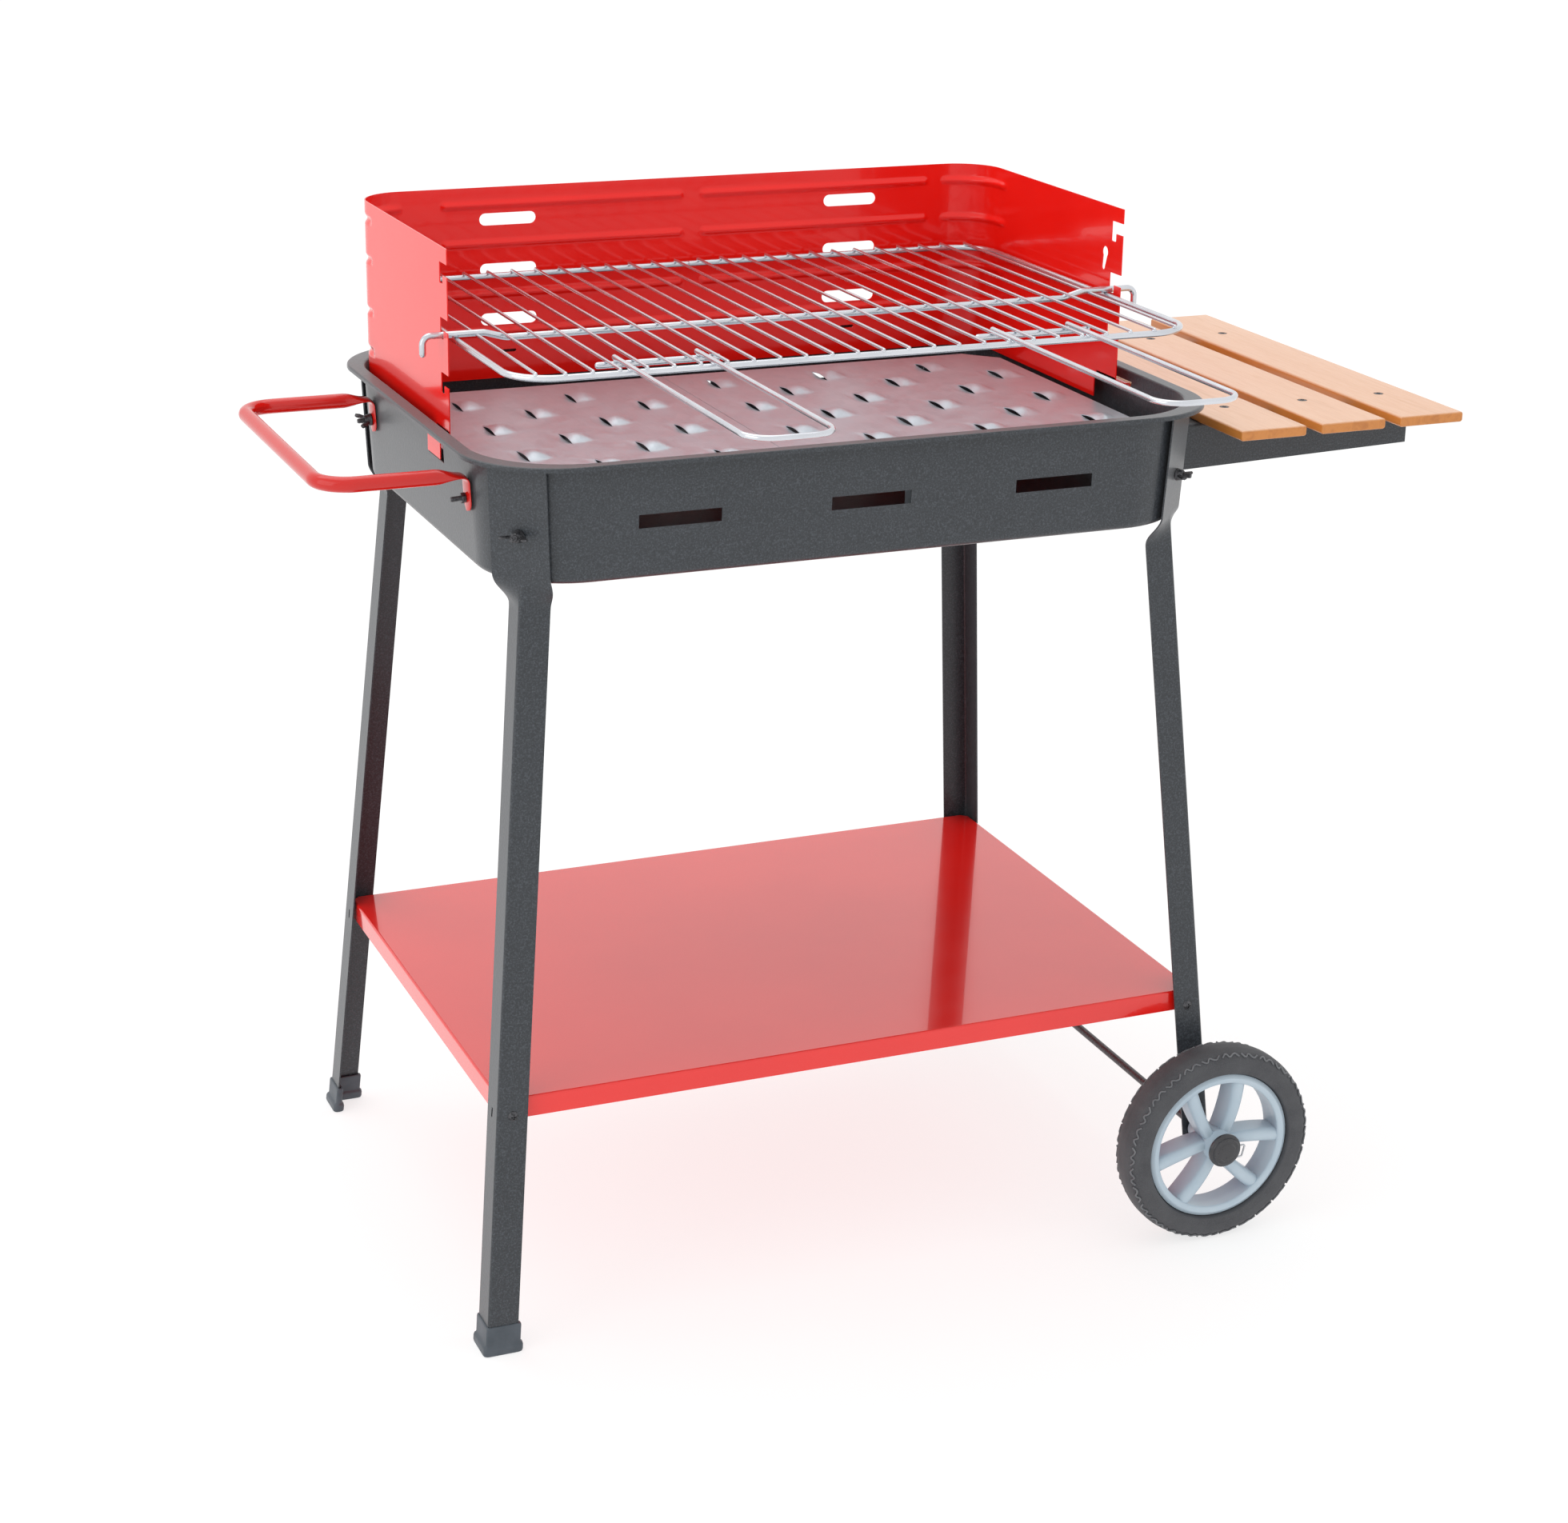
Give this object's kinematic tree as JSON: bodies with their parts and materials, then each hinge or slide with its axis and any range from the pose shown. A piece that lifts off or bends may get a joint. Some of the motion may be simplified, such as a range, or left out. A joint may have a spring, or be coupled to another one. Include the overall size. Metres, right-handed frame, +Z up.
{
  "type": "charcoal trolley barbecue",
  "caption": "Rectangular charcoal trolley barbecue with folded steel legs, red windshield and lower shelf, wire cooking grid, side carrying handle, slatted side shelf and a pair of wheels.",
  "frame": {"origin": "on the floor, under the middle of the bounding box", "axes": "+Z up; -Y is the front, where the cooking grid's handles point; +X is the side with the wheels and the slatted shelf; -X is the side with the carrying handle"},
  "size_m": [1.102, 0.85, 0.977],
  "materials": {
    "charcoal_paint": "hammered dark grey stove paint, satin",
    "red_gloss": "glossy red enamel",
    "bright_wire": "bright plated steel wire",
    "zinc_sheet": "bright galvanised sheet",
    "black_steel": "blackened steel",
    "zinc_wire": "zinc plated wire",
    "tyre_rubber": "dark grey, moulded tread",
    "hub_plastic": "light blue-grey moulded plastic",
    "boot_plastic": "dark blue-grey moulded plastic",
    "pine": "varnished pine boards"
  },
  "bodies": {
    "stand": {"brazier_tray": "charcoal_paint", "leg_front_left": "charcoal_paint", "leg_rear_left": "charcoal_paint", "leg_front_right": "charcoal_paint", "leg_rear_right": "charcoal_paint", "side_bracket_front": "charcoal_paint", "side_bracket_rear": "charcoal_paint", "windshield": "red_gloss", "lower_shelf": "red_gloss", "carry_handle": "red_gloss", "axle": "black_steel", "hub_cap_front": "black_steel", "hub_cap_rear": "black_steel", "leg_bolt_front_left": "black_steel", "leg_bolt_rear_left": "black_steel", "leg_bolt_front_right": "black_steel", "leg_bolt_rear_right": "black_steel", "wing_nut_front_left": "black_steel", "wing_nut_rear_left": "black_steel", "wing_nut_front_right": "black_steel", "wing_nut_rear_right": "black_steel", "shelf_screw_front_left": "black_steel", "shelf_screw_rear_left": "black_steel", "shelf_screw_front_right": "black_steel", "shelf_screw_rear_right": "black_steel", "handle_bolt_front": "black_steel", "handle_bolt_rear": "black_steel", "handle_nut_front": "black_steel", "handle_nut_rear": "black_steel", "bracket_bolt_lower_front": "black_steel", "bracket_bolt_lower_rear": "black_steel", "bracket_bolt_upper_front": "black_steel", "bracket_bolt_upper_rear": "black_steel", "board_screw_1_front": "black_steel", "board_screw_1_rear": "black_steel", "board_screw_2_front": "black_steel", "board_screw_2_rear": "black_steel", "board_screw_3_front": "black_steel", "board_screw_3_rear": "black_steel", "cotter_clip_front": "zinc_wire", "cotter_clip_rear": "zinc_wire", "foot_boot_front_left": "boot_plastic", "foot_boot_rear_left": "boot_plastic", "side_board_1": "pine", "side_board_2": "pine", "side_board_3": "pine"},
    "wheel_front": {"wheel_tyre_front": "tyre_rubber", "wheel_hub_front": "hub_plastic"},
    "wheel_rear": {"wheel_tyre_rear": "tyre_rubber", "wheel_hub_rear": "hub_plastic"},
    "grid": {"cooking_grid": "bright_wire"},
    "grate_left": {"charcoal_grate_left": "zinc_sheet"},
    "grate_right": {"charcoal_grate_right": "zinc_sheet"}
  },
  "joints": [
    {"name": "wheel_front_spin", "type": "hinge", "parent": "stand", "child": "wheel_front", "pos_m": [0.287, -0.21855, 0.1], "axis": [0, 1, 0], "continuous": true},
    {"name": "wheel_rear_spin", "type": "hinge", "parent": "stand", "child": "wheel_rear", "pos_m": [0.287, 0.39345, 0.1], "axis": [0, 1, 0], "continuous": true},
    {"name": "grid_lift", "type": "slide", "parent": "stand", "child": "grid", "axis": [0, 0, 1], "range_m": [0, 0.012]},
    {"name": "grate_left_lift", "type": "slide", "parent": "stand", "child": "grate_left", "axis": [0, 0, 1], "range_m": [0, 0.085]},
    {"name": "grate_right_lift", "type": "slide", "parent": "stand", "child": "grate_right", "axis": [0, 0, 1], "range_m": [0, 0.085]}
  ]
}
